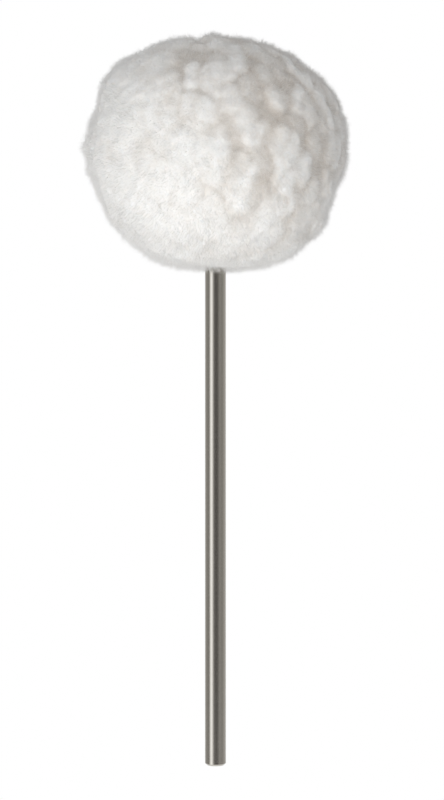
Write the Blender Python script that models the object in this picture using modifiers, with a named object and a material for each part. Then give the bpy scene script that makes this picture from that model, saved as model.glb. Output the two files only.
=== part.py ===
"""Bass drum beater: a ball of white fleece over a felt core, bolted to a round steel shaft.

The shaft stands on the Z axis with its free end at the origin and the head above it.
Inside the head the shaft is turned down to a threaded spigot. The felt core sits on that spigot
between two washers, with a sleeve that takes the nut's pull, and a felt plug hides the nut.
The fleece is knitted cloth with a long pile. It is sewn to a tube, drawn shut over the crown and
bound to the shaft with thread. Lengths are in metres.
"""

import math
import random

import bmesh
import bpy
from mathutils import Vector

# Steel shaft
SHAFT_DIAMETER = 0.0079375  # five sixteenths of an inch, which a pedal's beater hub takes
BARE_LENGTH = 0.187  # from the free end to the underside of the head
END_CHAMFER = 0.0007
SHOULDER_WIDTH = 0.00079375  # leaves a quarter-inch spigot
THREAD_LENGTH = 0.0125
THREAD_PITCH = 0.00127  # 20 threads to the inch
THREAD_END_PROUD = 0.0015  # thread that shows above the nut

# Fasteners inside the head
WASHER_DIAMETER = 0.024
WASHER_THICKNESS = 0.0016
LOCK_WASHER_WIDTH = 0.0027  # from its hole to its rim
LOCK_WASHER_THICKNESS = 0.0016
LOCK_WASHER_SPLIT = 0.001
LOCK_WASHER_SPLIT_LEAN = math.radians(35)
NUT_WALL = 0.00208  # from its hole to the middle of a flat
NUT_HEIGHT = 0.0056
NUT_CORNER_CHAMFER = 0.0005
SLEEVE_WALL = 0.0012

# Felt core and plug
CORE_DIAMETER = 0.068
CORE_HEIGHT = 0.058
CORE_RIM_WIDTH = 0.0027  # flat felt left around the washer and the plug
CORE_SQUARENESS = 2.25  # exponent of the side's curve: 2 is an ellipse
PLUG_THICKNESS = 0.005

# Fleece cover
BACKING_THICKNESS = 0.0012
PILE_LENGTH = 0.0145
PILE_VALLEY_DEPTH = 0.0030  # how far the partings between locks lie below their crests
LOCK_COUNT = 330
LOCK_JITTER = 0.30  # how far a lock strays from an even spread, in lock widths
LOCK_SEED = 7
CROWN_NUB_DIAMETER = 0.0066
CROWN_NUB_HEIGHT = 0.0042
CROWN_EYE_DIAMETER = 0.0012  # the hole that the drawn cloth leaves
NECK_START = 0.0032  # from the underside of the head up to the cloth's lower edge
SEAM_SLIT = math.radians(6.5)  # between the cloth's two edges, at the back

# Threads
BINDING_DIAMETER = 0.0009
BINDING_SPACING = 0.00136  # from turn to turn
NECK_MARGIN = 0.0016  # cloth left bare above and below the neck's winding
SEAM_THREAD_DIAMETER = 0.0006
SEAM_STITCH_LENGTH = 0.0025

GAP = 0.0003  # between pieces that touch

# Swells and dips of the fleece as seen from the front: angle anticlockwise from the right,
# height above or below the even outline, and half-width.
OUTLINE_SWELLS = (
    (math.radians(18), 0.0009, math.radians(16)),
    (math.radians(46), -0.0014, math.radians(10)),
    (math.radians(75), -0.0010, math.radians(8)),
    (math.radians(86), 0.0012, math.radians(5)),
    (math.radians(95), -0.0036, math.radians(4)),
    (math.radians(141), 0.0016, math.radians(9)),
    (math.radians(163), -0.0018, math.radians(10)),
    (math.radians(208), -0.0022, math.radians(19)),
    (math.radians(293), 0.0012, math.radians(10)),
    (math.radians(339), -0.0019, math.radians(13)),
)

# Mesh fineness
ROUND_STEPS = 32
SHAFT_STEPS = 64
SPIGOT_STEPS = 24
SIDE_STEPS = 12
PILE_SUBDIVISIONS = 5
LOOP_POINTS = 24

# Colours: linear RGB, roughness, metallic
STEEL = ((0.36, 0.34, 0.32), 0.32, 1.0)
ZINC = ((0.55, 0.56, 0.58), 0.38, 1.0)
ALUMINIUM = ((0.62, 0.62, 0.63), 0.40, 1.0)
CORE_FELT = ((0.62, 0.58, 0.50), 0.95, 0.0)
PLUG_FELT = ((0.70, 0.67, 0.60), 0.95, 0.0)
KNIT = ((0.78, 0.76, 0.71), 0.90, 0.0)
WOOL = ((0.86, 0.85, 0.82), 0.92, 0.0)
THREAD = ((0.74, 0.71, 0.63), 0.70, 0.0)

# Sizes that follow from those above
shaft_radius = SHAFT_DIAMETER / 2
spigot_radius = shaft_radius - SHOULDER_WIDTH
thread_depth = THREAD_PITCH / 2
washer_radius = WASHER_DIAMETER / 2
binding_radius = BINDING_DIAMETER / 2
spigot_hole_radius = spigot_radius + GAP
sleeve_radius = spigot_hole_radius + SLEEVE_WALL
bore_radius = sleeve_radius + GAP
recess_radius = washer_radius + GAP
core_flat_radius = recess_radius + CORE_RIM_WIDTH
lock_washer_radius = spigot_hole_radius + LOCK_WASHER_WIDTH
nut_half_width = spigot_hole_radius + NUT_WALL
wrap = GAP + BACKING_THICKNESS + GAP  # from the core's surface to the pile's inside
backing_middle = GAP + BACKING_THICKNESS / 2

core_bottom = BARE_LENGTH + PILE_LENGTH + wrap
core_top = core_bottom + CORE_HEIGHT
head_middle = core_bottom + CORE_HEIGHT / 2
head_half_width = CORE_DIAMETER / 2 + wrap + PILE_LENGTH
head_half_height = CORE_HEIGHT / 2 + wrap + PILE_LENGTH

shoulder_height = core_bottom - GAP
lower_washer_top = core_bottom + WASHER_THICKNESS
plug_bottom = core_top - PLUG_THICKNESS
spigot_top = plug_bottom - GAP
nut_top = spigot_top - THREAD_END_PROUD
nut_bottom = nut_top - NUT_HEIGHT
lock_washer_top = nut_bottom - GAP
lock_washer_bottom = lock_washer_top - LOCK_WASHER_THICKNESS
upper_washer_top = lock_washer_bottom - GAP
upper_washer_bottom = upper_washer_top - WASHER_THICKNESS
pocket_floor = upper_washer_bottom - GAP

neck_radius = shaft_radius + GAP + BACKING_THICKNESS
neck_bottom = BARE_LENGTH + NECK_START
neck_winding_radius = neck_radius + GAP + binding_radius
neck_clear_radius = neck_winding_radius + binding_radius + GAP
nub_radius = CROWN_NUB_DIAMETER / 2
nub_top = core_top + GAP + BACKING_THICKNESS + CROWN_NUB_HEIGHT
crown_winding_radius = nub_radius + GAP + binding_radius
crown_clear_radius = crown_winding_radius + binding_radius + GAP


def clear_scene():
    for thing in list(bpy.data.objects):
        bpy.data.objects.remove(thing, do_unlink=True)


def new_collection(name, helper=False):
    made = bpy.data.collections.new(name)
    bpy.context.scene.collection.children.link(made)
    made.hide_render = helper
    return made


def make_material(name, finish):
    colour, roughness, metallic = finish
    made = bpy.data.materials.new(name)
    made.use_nodes = True
    shader = made.node_tree.nodes["Principled BSDF"]
    shader.inputs["Base Color"].default_value = (*colour, 1.0)
    shader.inputs["Roughness"].default_value = roughness
    shader.inputs["Metallic"].default_value = metallic
    made.diffuse_color = (*colour, 1.0)
    return made


def place(name, data, collection, material=None):
    made = bpy.data.objects.new(name, data)
    collection.objects.link(made)
    if material:
        data.materials.append(material)
    return made


def outline_mesh(name, outline, closed):
    """An outline of (radius, height) points as edges in the XZ plane."""
    mesh = bpy.data.meshes.new(name)
    edges = [(i, i + 1) for i in range(len(outline) - 1)]
    if closed:
        edges.append((len(outline) - 1, 0))
    mesh.from_pydata([(r, 0.0, z) for r, z in outline], edges, [])
    return mesh


def turned(name, outline, collection, material=None, closed=False, steps=ROUND_STEPS):
    """A turned solid. The outline runs down its outer side, and a ring's outline is closed."""
    made = place(name, outline_mesh(name, outline, closed), collection, material)
    screw = made.modifiers.new("turn", "SCREW")
    screw.steps = screw.render_steps = steps
    screw.use_merge_vertices = True
    screw.merge_threshold = 0.00001
    return made


def ring_outline(inner, outer, bottom, top):
    return [(outer, top), (outer, bottom), (inner, bottom), (inner, top)]


def combine(target, other, operation):
    boolean = target.modifiers.new(operation.lower(), "BOOLEAN")
    boolean.operation = operation
    boolean.object = other
    other.hide_render = True
    other.display_type = "WIRE"


def tube(name, points, radius, collection, material, sides_level=1):
    """A wire, thread or ridge along the points, with filled ends."""
    curve = bpy.data.curves.new(name, "CURVE")
    curve.dimensions = "3D"
    curve.twist_mode = "Z_UP"
    curve.bevel_depth = radius
    curve.bevel_resolution = sides_level
    curve.use_fill_caps = True
    spline = curve.splines.new("POLY")
    spline.points.add(len(points) - 1)
    for spot, point in zip(spline.points, points):
        spot.co = (*point, 1.0)
    return place(name, curve, collection, material)


def as_mesh(curve_object, collection):
    """The curve object's tube as a mesh object with its caps welded on."""
    bpy.context.view_layer.update()
    graph = bpy.context.evaluated_depsgraph_get()
    mesh = bpy.data.meshes.new_from_object(curve_object.evaluated_get(graph))
    body = bmesh.new()
    body.from_mesh(mesh)
    bmesh.ops.remove_doubles(body, verts=body.verts, dist=0.000001)
    bmesh.ops.recalc_face_normals(body, faces=body.faces)
    body.to_mesh(mesh)
    body.free()
    name, matrix = curve_object.name, curve_object.matrix_world.copy()
    bpy.data.objects.remove(curve_object, do_unlink=True)
    made = place(name, mesh, collection)
    made.matrix_world = matrix
    return made


def helix(radius, bottom, pitch, turns, points_a_turn=LOOP_POINTS):
    count = round(turns * points_a_turn)
    points = []
    for i in range(count + 1):
        angle = 2 * math.pi * i / points_a_turn
        height = bottom + pitch * i / points_a_turn
        points.append((radius * math.cos(angle), radius * math.sin(angle), height))
    return points


def least_turn_gap(points, diameter, points_a_turn=LOOP_POINTS):
    """The least clear distance between one turn of a winding and the next."""
    spots = [Vector(p) for p in points]
    least = min(
        (a - b).length
        for i, a in enumerate(spots)
        for b in spots[i + points_a_turn // 2 :]
    )
    return least - diameter


def smooth(collection):
    for made in collection.objects:
        if made.type == "MESH":
            made.data.shade_smooth()
            made.data.set_sharp_from_angle(angle=math.radians(35))


def super_ellipse(half_width, half_height, turn, squareness):
    """A point of the rounded outline: turn runs from a quarter turn at the top to minus that."""
    power = 2 / squareness
    c, s = math.cos(turn), math.sin(turn)
    return (
        half_width * abs(c) ** power,
        half_height * math.copysign(abs(s) ** power, s),
    )


def core_side():
    """The curved side of the core, from the edge of its upper flat down to that of the lower."""
    edge = math.acos((2 * core_flat_radius / CORE_DIAMETER) ** (CORE_SQUARENESS / 2))
    # The full curve is a little taller than the core, which its flats cut off.
    half_height = CORE_HEIGHT / 2 / math.sin(edge) ** (2 / CORE_SQUARENESS)
    side = []
    for i in range(SIDE_STEPS + 1):
        turn = edge * (1 - 2 * i / SIDE_STEPS)
        r, z = super_ellipse(CORE_DIAMETER / 2, half_height, turn, CORE_SQUARENESS)
        side.append((r, head_middle + z))
    return side


def offset_side(distance):
    """The core's outer outline moved out: its upper flat's edge, curved side and lower edge."""
    side = core_side()
    line = [(side[0][0] - 0.001, core_top), *side, (side[-1][0] - 0.001, core_bottom)]
    moved = []
    for before, here, after in zip(line, line[1:], line[2:]):
        normals = []
        for a, b in ((before, here), (here, after)):
            run = Vector((b[0] - a[0], b[1] - a[1])).normalized()
            normals.append(Vector((-run.y, run.x)))
        mitre = (normals[0] + normals[1]).normalized()
        reach = distance / max(mitre.dot(normals[0]), 0.5)
        moved.append((here[0] + mitre.x * reach, here[1] + mitre.y * reach))
    return moved


def build_shaft(parts, helpers, steel):
    root_radius = spigot_radius - thread_depth
    thread_bottom = spigot_top - THREAD_LENGTH
    rod = [
        (0.0, shoulder_height),
        (shaft_radius, shoulder_height),
        (shaft_radius, END_CHAMFER),
        (shaft_radius - END_CHAMFER, 0.0),
        (0.0, 0.0),
    ]
    shaft = turned("shaft", rod, parts, steel, steps=SHAFT_STEPS)
    # The spigot is rooted in the rod.
    spigot = [
        (0.0, spigot_top),
        (root_radius - thread_depth, spigot_top),
        (root_radius, spigot_top - thread_depth),
        (root_radius, thread_bottom + thread_depth),
        (spigot_radius, thread_bottom),
        (spigot_radius, shoulder_height - spigot_radius),
        (0.0, shoulder_height - spigot_radius),
    ]
    combine(shaft, turned("spigot", spigot, helpers, steps=SPIGOT_STEPS), "UNION")
    # The thread is a ridge of square section set on its corner, half sunk in the spigot.
    ridge_bottom = thread_bottom + thread_depth
    turns = (spigot_top - thread_depth - ridge_bottom) / THREAD_PITCH - 0.5
    ridge_middle = root_radius + 0.1 * thread_depth
    ridge_points = helix(
        ridge_middle, ridge_bottom, THREAD_PITCH, turns, SPIGOT_STEPS // 2
    )
    ridge = tube(
        "thread_ridge", ridge_points, spigot_radius - ridge_middle, helpers, None, 0
    )
    combine(shaft, as_mesh(ridge, helpers), "UNION")


def build_washers(parts, helpers, zinc):
    lower = ring_outline(
        spigot_hole_radius, washer_radius, core_bottom, lower_washer_top
    )
    turned("lower_washer", lower, parts, zinc, closed=True)
    upper = ring_outline(
        spigot_hole_radius, washer_radius, upper_washer_bottom, upper_washer_top
    )
    turned("upper_washer", upper, parts, zinc, closed=True)

    lock = ring_outline(
        spigot_hole_radius, lock_washer_radius, lock_washer_bottom, lock_washer_top
    )
    lock_washer = turned("lock_washer", lock, parts, zinc, closed=True)
    mesh = bpy.data.meshes.new("lock_washer_split")
    body = bmesh.new()
    bmesh.ops.create_cube(body, size=1.0)
    size = (2 * lock_washer_radius, LOCK_WASHER_SPLIT, 5 * LOCK_WASHER_THICKNESS)
    bmesh.ops.scale(body, vec=size, verts=body.verts)
    body.to_mesh(mesh)
    body.free()
    split = place("lock_washer_split", mesh, helpers)
    split.rotation_euler = (LOCK_WASHER_SPLIT_LEAN, 0.0, 0.0)
    middle = (lock_washer_bottom + lock_washer_top) / 2
    split.location = (lock_washer_radius, 0.0, middle)
    combine(lock_washer, split, "DIFFERENCE")


def build_nut(parts, helpers, zinc):
    corner_radius = nut_half_width / math.cos(math.pi / 6)
    mesh = bpy.data.meshes.new("retaining_nut")
    body = bmesh.new()
    bmesh.ops.create_cone(
        body,
        cap_ends=True,
        segments=6,
        radius1=corner_radius,
        radius2=corner_radius,
        depth=NUT_HEIGHT,
    )
    body.to_mesh(mesh)
    body.free()
    nut = place("retaining_nut", mesh, parts, zinc)
    nut.location = (0.0, 0.0, (nut_bottom + nut_top) / 2)

    # The corners are turned off at both faces.
    spare = 0.001
    face_radius = corner_radius - 2 * NUT_CORNER_CHAMFER
    chamfers = [
        (0.0, nut_top + spare / 2),
        (face_radius - spare, nut_top + spare / 2),
        (corner_radius + spare, nut_top - NUT_CORNER_CHAMFER - spare / 2),
        (corner_radius + spare, nut_bottom + NUT_CORNER_CHAMFER + spare / 2),
        (face_radius - spare, nut_bottom - spare / 2),
        (0.0, nut_bottom - spare / 2),
    ]
    combine(nut, turned("nut_chamfers", chamfers, helpers), "INTERSECT")
    bore = [
        (0.0, nut_top + spare),
        (spigot_hole_radius, nut_top + spare),
        (spigot_hole_radius, nut_bottom - spare),
        (0.0, nut_bottom - spare),
    ]
    combine(nut, turned("nut_bore", bore, helpers), "DIFFERENCE")


def build_core(parts, felt, aluminium, plug_felt):
    side = core_side()
    outline = [
        *side,
        (recess_radius, core_bottom),
        (recess_radius, lower_washer_top + GAP),
        (bore_radius, lower_washer_top + GAP),
        (bore_radius, pocket_floor),
        (recess_radius, pocket_floor),
        (recess_radius, core_top),
    ]
    turned("felt_core", outline, parts, felt, closed=True)
    sleeve = ring_outline(
        spigot_hole_radius, sleeve_radius, lower_washer_top + GAP, pocket_floor
    )
    turned("core_sleeve", sleeve, parts, aluminium, closed=True)
    plug = [
        (0.0, core_top),
        (washer_radius, core_top),
        (washer_radius, plug_bottom),
        (0.0, plug_bottom),
    ]
    turned("felt_plug", plug, parts, plug_felt)


def build_backing(parts, knit):
    """The knitted cloth: a wrap with a slit at the back, a drawn nub above and a neck below."""
    half = BACKING_THICKNESS / 2
    outline = [
        (CROWN_EYE_DIAMETER / 2, nub_top - half),
        (nub_radius - half, nub_top - half),
        (nub_radius - half, core_top + backing_middle),
        *offset_side(backing_middle),
        (neck_radius - half, core_bottom - backing_middle),
        (neck_radius - half, neck_bottom),
    ]
    backing = place(
        "cover_backing", outline_mesh("cover_backing", outline, False), parts, knit
    )
    screw = backing.modifiers.new("wrap", "SCREW")
    screw.angle = 2 * math.pi - SEAM_SLIT
    screw.steps = screw.render_steps = ROUND_STEPS
    screw.use_merge_vertices = False
    cloth = backing.modifiers.new("cloth", "SOLIDIFY")
    cloth.thickness = BACKING_THICKNESS
    cloth.offset = 0.0
    cloth.use_even_offset = True
    cloth.use_rim = True
    backing.rotation_euler = (0.0, 0.0, math.pi / 2 + SEAM_SLIT / 2)


def lock_directions():
    """An even spread of directions over a ball, each strayed a little: one for each lock of wool."""
    draw = random.Random(LOCK_SEED)
    golden = math.pi * (3 - math.sqrt(5))
    stray = LOCK_JITTER * math.sqrt(4 * math.pi / LOCK_COUNT)
    directions = []
    for i in range(LOCK_COUNT):
        z = 1 - (2 * i + 1) / LOCK_COUNT
        r = math.sqrt(1 - z * z)
        spot = Vector((r * math.cos(golden * i), r * math.sin(golden * i), z))
        spot += Vector([draw.uniform(-stray, stray) for _ in range(3)])
        directions.append(spot.normalized())
    return directions


def outline_swell(direction):
    """How far the fleece stands proud of the even ball in this direction."""
    angle = math.atan2(direction.z, direction.x) % (2 * math.pi)
    facing = math.hypot(direction.x, direction.z)  # 1 on the outline seen from the front
    swell = 0.0
    for middle, height, half_width in OUTLINE_SWELLS:
        away = abs((angle - middle + math.pi) % (2 * math.pi) - math.pi)
        swell += height * math.exp(-((away / half_width) ** 2))
    return swell * facing**6


def lock_crest(direction, locks, width):
    """1 on the crest of a lock, falling to 0 in the partings. Locks hang, so the lower side is steep."""
    down = Vector((0.0, 0.0, -1.0)) + direction * direction.z
    down = down.normalized() if down.length > 0.05 else Vector((1.0, 0.0, 0.0))
    across = direction.cross(down)
    best = 0.0
    for lock in locks:
        away = direction - lock
        if away.length > 2 * width:
            continue
        fall = away.dot(down)
        fall *= 1.15 if fall > 0 else 0.72
        spread = math.hypot(fall, away.dot(across)) / width
        best = max(best, 1 - spread**2)
    return best


def build_pile(parts, helpers, wool):
    mesh = bpy.data.meshes.new("cover_pile")
    ball = bmesh.new()
    bmesh.ops.create_icosphere(ball, subdivisions=PILE_SUBDIVISIONS, radius=1.0)
    locks = lock_directions()
    width = math.sqrt(4 * math.pi / LOCK_COUNT) * 0.86
    for spot in ball.verts:
        direction = spot.co.normalized()
        turn = math.asin(max(-1.0, min(1.0, direction.z)))
        r, z = super_ellipse(
            head_half_width, head_half_height, turn, CORE_SQUARENESS
        )
        around = math.atan2(direction.y, direction.x)
        even = Vector((r * math.cos(around), r * math.sin(around), z))
        sunk = PILE_VALLEY_DEPTH * (1 - lock_crest(direction, locks, width))
        outward = even.normalized()
        spot.co = even + outward * (outline_swell(outward) - sunk)
        spot.co.z += head_middle
    ball.to_mesh(mesh)
    ball.free()
    pile = place("cover_pile", mesh, parts, wool)

    spare = 0.004
    shaft_clear_radius = shaft_radius + GAP
    hollow = [
        (0.0, nub_top + GAP),
        (crown_clear_radius, nub_top + GAP),
        (crown_clear_radius, core_top + wrap),
        *offset_side(wrap),
        (neck_clear_radius, core_bottom - wrap),
        (neck_clear_radius, neck_bottom - GAP),
        (shaft_clear_radius, neck_bottom - GAP),
        (shaft_clear_radius, BARE_LENGTH - spare),
        (0.0, BARE_LENGTH - spare),
    ]
    combine(pile, turned("pile_hollow", hollow, helpers), "DIFFERENCE")


def build_threads(parts, thread):
    neck_length = core_bottom - wrap - neck_bottom
    room = neck_length - 2 * NECK_MARGIN - BINDING_DIAMETER
    turns = max(1, math.floor(room / BINDING_SPACING))
    bottom = neck_bottom + (neck_length - turns * BINDING_SPACING) / 2
    neck = helix(neck_winding_radius, bottom, BINDING_SPACING, turns)
    tube("neck_binding", neck, binding_radius, parts, thread)

    room = CROWN_NUB_HEIGHT - GAP - BINDING_DIAMETER
    turns = max(1, math.floor(room / BINDING_SPACING))
    bottom = core_top + wrap + binding_radius
    crown = helix(crown_winding_radius, bottom, BINDING_SPACING, turns)
    tube("crown_drawstring", crown, binding_radius, parts, thread)

    # The zigzag lies in the slit between the cloth's edges, from one edge to the other and back.
    seam_radius = SEAM_THREAD_DIAMETER / 2
    path = offset_side(backing_middle)
    runs = [0.0]
    for a, b in zip(path, path[1:]):
        runs.append(runs[-1] + math.dist(a, b))
    stitches = round(runs[-1] / SEAM_STITCH_LENGTH)
    points = []
    for i in range(stitches + 1):
        along = runs[-1] * i / stitches
        k = max(j for j in range(len(runs) - 1) if runs[j] <= along or j == 0)
        share = (along - runs[k]) / (runs[k + 1] - runs[k])
        r = path[k][0] + share * (path[k + 1][0] - path[k][0])
        z = path[k][1] + share * (path[k + 1][1] - path[k][1])
        swing = r * SEAM_SLIT / 2 - seam_radius - GAP
        side = -1 if i % 2 else 1
        points.append((side * swing, math.sqrt(r * r - swing * swing), z))
    tube("seam_thread", points, seam_radius, parts, thread)
    for name, spots in (("neck_binding", neck), ("crown_drawstring", crown)):
        gap_mm = 1000 * least_turn_gap(spots, BINDING_DIAMETER)
        print(f"{name}: least gap between turns {gap_mm:.2f} mm")


def main():
    clear_scene()
    parts = new_collection("bass_drum_beater")
    helpers = new_collection("cutters", helper=True)
    steel = make_material("ground_steel", STEEL)
    zinc = make_material("zinc_plated_steel", ZINC)
    aluminium = make_material("aluminium_tube", ALUMINIUM)
    felt = make_material("pressed_felt", CORE_FELT)
    plug_felt = make_material("plug_felt", PLUG_FELT)
    knit = make_material("knitted_backing", KNIT)
    wool = make_material("white_fleece", WOOL)
    thread = make_material("waxed_thread", THREAD)

    build_shaft(parts, helpers, steel)
    build_washers(parts, helpers, zinc)
    build_nut(parts, helpers, zinc)
    build_core(parts, felt, aluminium, plug_felt)
    build_backing(parts, knit)
    build_pile(parts, helpers, wool)
    build_threads(parts, thread)
    smooth(parts)


main()
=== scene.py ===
import math
import random

import bmesh
import bpy
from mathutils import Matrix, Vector, kdtree, noise


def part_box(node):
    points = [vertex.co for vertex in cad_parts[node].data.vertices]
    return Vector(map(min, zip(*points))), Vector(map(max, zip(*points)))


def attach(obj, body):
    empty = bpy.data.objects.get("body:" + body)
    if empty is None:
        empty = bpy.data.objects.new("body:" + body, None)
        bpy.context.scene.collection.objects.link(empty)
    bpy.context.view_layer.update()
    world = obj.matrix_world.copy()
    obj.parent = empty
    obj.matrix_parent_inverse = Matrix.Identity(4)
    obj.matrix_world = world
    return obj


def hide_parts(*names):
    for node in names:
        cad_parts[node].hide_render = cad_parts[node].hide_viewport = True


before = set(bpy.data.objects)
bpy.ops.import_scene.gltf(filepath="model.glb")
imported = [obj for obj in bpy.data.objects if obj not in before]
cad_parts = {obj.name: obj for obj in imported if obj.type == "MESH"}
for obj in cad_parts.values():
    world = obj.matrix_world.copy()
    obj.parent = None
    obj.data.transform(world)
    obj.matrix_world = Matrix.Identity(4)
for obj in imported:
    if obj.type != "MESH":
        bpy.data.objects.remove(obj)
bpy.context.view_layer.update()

# lengths are in metres throughout
shaftLow, shaftHigh = (Vector(corner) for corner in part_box("shaft"))
shaftRadius = (shaftHigh.x - shaftLow.x) / 2
headMiddle = 0.2323  # the height of the fleece's middle
print("frame loaded")


def linear(hexColour):
    # sRGB hex to the linear values that Blender's sockets hold
    parts = [int(hexColour[i:i + 2], 16) / 255 for i in (1, 3, 5)]
    return tuple(c / 12.92 if c <= 0.04045 else ((c + 0.055) / 1.055) ** 2.4 for c in parts) + (1.0,)


def addNode(tree, kind, inputs=None, stops=(), **settings):
    # one node: its settings, each input set or linked, and a ramp's stops as (place, colour)
    node = tree.nodes.new(kind)
    for name, value in settings.items():
        setattr(node, name, value)
    for key, value in (inputs or {}).items():
        if isinstance(value, bpy.types.NodeSocket):
            tree.links.new(value, node.inputs[key])
        else:
            node.inputs[key].default_value = value
    for i, (place, colour) in enumerate(stops):
        ramp = node.color_ramp.elements
        stop = ramp[i] if i < len(ramp) else ramp.new(place)
        stop.position = place
        stop.color = linear(colour)
    return node


def newMaterial(name, **fixed):
    # what is the same all over is set on the shader's own sockets
    material = bpy.data.materials.new(name)
    material.use_nodes = True
    shader = material.node_tree.nodes["Principled BSDF"]
    for socket, value in fixed.items():
        shader.inputs[socket.replace("_", " ")].default_value = value
    return material, material.node_tree, shader


def feed(shader, **outputs):
    # link what varies over the surface to the shader
    for socket, output in outputs.items():
        shader.id_data.links.new(output, shader.inputs[socket.replace("_", " ")])


def newObject(name, mesh, material=None):
    made = bpy.data.objects.new(name, mesh)
    bpy.context.scene.collection.objects.link(made)
    if material:
        mesh.materials.append(material)
    return made


def applyModifiers(thing):
    # the evaluated shape becomes a plain mesh, and the modifiers go
    graph = bpy.context.evaluated_depsgraph_get()
    mesh = bpy.data.meshes.new_from_object(thing.evaluated_get(graph), depsgraph=graph)
    thing.modifiers.clear()
    old, thing.data = thing.data, mesh
    name = old.name
    bpy.data.meshes.remove(old)
    mesh.name = name
    return mesh


# Head: the fleece's even outline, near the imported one's, and its swells and dips as the front shows them
head = {
    "halfWidth": 0.0503,
    "above": 0.0437,  # from the middle up to the crown
    "below": 0.0453,  # from the middle down to the neck
    "squareness": 2.25,
    # angle anticlockwise from the right as seen from the front, height, half-width in degrees
    "swells": (
        (15, 0.0008, 13), (43, -0.0014, 8), (58, -0.0007, 6), (74, -0.0015, 12), (91.5, 0.0014, 3.2),
        (97.6, -0.0046, 3.0), (110, -0.0010, 9), (126, -0.0010, 5), (141, 0.0015, 7.5), (160, -0.0022, 7),
        (172, -0.0012, 6), (178.5, 0.0014, 2), (184, -0.0008, 4), (188.7, 0.0012, 2), (194, -0.0010, 5),
        (205, -0.0025, 15), (225, -0.0015, 9), (297, 0.0013, 13), (325, 0.0007, 4), (332, -0.0015, 6),
        (343, -0.0019, 6),
    ),
    "swellDepth": 5,  # degrees that a swell runs to the front and back, besides its half-width
    "dipDepth": 24,  # the same for a dip, which shows only where it runs right across
    "swellWander": 1.2,  # how much a swell bends on its way, in degrees to each degree
    "dipWander": 0.2,  # the same for a dip, little, or the dip wouldn't show in the outline
    "wanderLength": 0.012,  # over which the bend changes
    "rollHeight": 0.0007,  # slow rolls of the pile
    "rollLength": 0.015,
}

# Locks: rounded tufts of wool with soft partings between them
locks = {
    "count": 400,
    "stray": 0.45,  # from an even spread, in lock widths
    "dropped": 0.06,  # share left out, so that their neighbours are larger
    "seed": 14,
    "lowest": 0.45,  # the lowest lock's height, where the highest has 1
    "stretch": 0.0022,  # a lock is longer down the head than it is wide
    "reach": 0.0054,  # from a lock's middle to its edge
    "warp": 0.0036,  # bends the locks' outlines
    "warpLength": 0.009,
    "warpSeed": 4,  # Blender draws the shifts of its noise vectors from this
    "crestDepth": 0.0011,  # the solid pile's crests and partings, below the fleece's outline
    "partingDepth": 0.0028,
    "openLeast": 0.22,  # how far the partings are open on the whole, as a share
    "openUneven": 0.35,  # how much that changes from place to place
    "unevenShift": Vector((7.3, 0, 0)),  # so that it doesn't follow the slow rolls
    "openWay": Vector((0.80, -0.50, 0.45)),  # they open widest this way, to the upper right of the front
    "openMost": 0.7,  # besides, straight that way
    "openBack": 0.4,  # besides, straight back
    "openShallow": 0.15,  # and nowhere less than this
    "tuftHeight": 0.0006,  # small tufts on the locks
    "tuftLength": 0.0035,
    "fluffHeight": 0.0002,
    "fluffLength": 0.0018,
    "collarDepth": 0.0019,  # round the shaft, where the pile is thin
    "collarRadius": 0.011,
}


def outwardDown(direction):
    # the way along the surface that hangs down, and none at the very crown
    return Vector((0, 0, -1)) + direction * direction.z


def headPoint(direction):
    # the fleece's outer surface in this direction from the head's middle
    turn = math.asin(max(-1.0, min(1.0, direction.z)))
    around = math.atan2(direction.y, direction.x)
    power = 2 / head["squareness"]
    flat = head["halfWidth"] * abs(math.cos(turn)) ** power
    tallest = head["above"] if turn > 0 else head["below"]
    high = tallest * math.copysign(abs(math.sin(turn)) ** power, turn)
    point = Vector((flat * math.cos(around), flat * math.sin(around), high))
    outward = point.normalized()

    angle = math.degrees(math.atan2(outward.z, outward.x)) % 360
    fromOutline = math.degrees(math.asin(min(1.0, abs(outward.y))))
    bend = fromOutline * noise.noise(point / head["wanderLength"])
    raised = 0.0
    for middle, height, halfWidth in head["swells"]:
        wander = head["swellWander"] if height > 0 else head["dipWander"]
        away = abs((angle + wander * bend - middle + 180) % 360 - 180)
        depth = fromOutline / ((head["swellDepth"] if height > 0 else head["dipDepth"]) + halfWidth)
        raised += height * math.exp(-(away / halfWidth) ** 2 - depth ** 2)
    roll = noise.noise(point / head["rollLength"]) * head["rollHeight"]
    return point + outward * (raised + roll), outward


def lockSpots():
    # the locks' middles: an even spiral over the head, each strayed a little
    draw = random.Random(locks["seed"])
    count = locks["count"]
    golden = math.pi * (3 - math.sqrt(5))
    stray = locks["stray"] * math.sqrt(4 * math.pi / count)
    spots = []
    for i in range(count):
        z = 1 - (2 * i + 1) / count
        r = math.sqrt(1 - z * z)
        direction = Vector((r * math.cos(golden * i), r * math.sin(golden * i), z))
        direction += Vector([draw.uniform(-stray, stray) for _ in range(3)])
        if draw.random() > locks["dropped"]:
            spots.append(direction.normalized())
    return spots


noise.seed_set(locks["warpSeed"])
lockDirections = lockSpots()
lockTree = kdtree.KDTree(len(lockDirections))
for i, direction in enumerate(lockDirections):
    lockTree.insert(headPoint(direction)[0], i)
lockTree.balance()
draw = random.Random(locks["seed"] + 1)
lockHeights = [draw.uniform(locks["lowest"], 1.0) for _ in lockDirections]


def openness(surface, outward):
    # how far the partings are open here, from 0 to 1
    slow = noise.noise(surface / head["rollLength"] + locks["unevenShift"])
    width = locks["openLeast"] + locks["openUneven"] * slow
    thatWay = locks["openMost"] * max(0.0, outward.dot(locks["openWay"]))
    width += thatWay + locks["openBack"] * max(0.0, outward.y)
    return max(locks["openShallow"], min(1.0, width))


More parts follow.
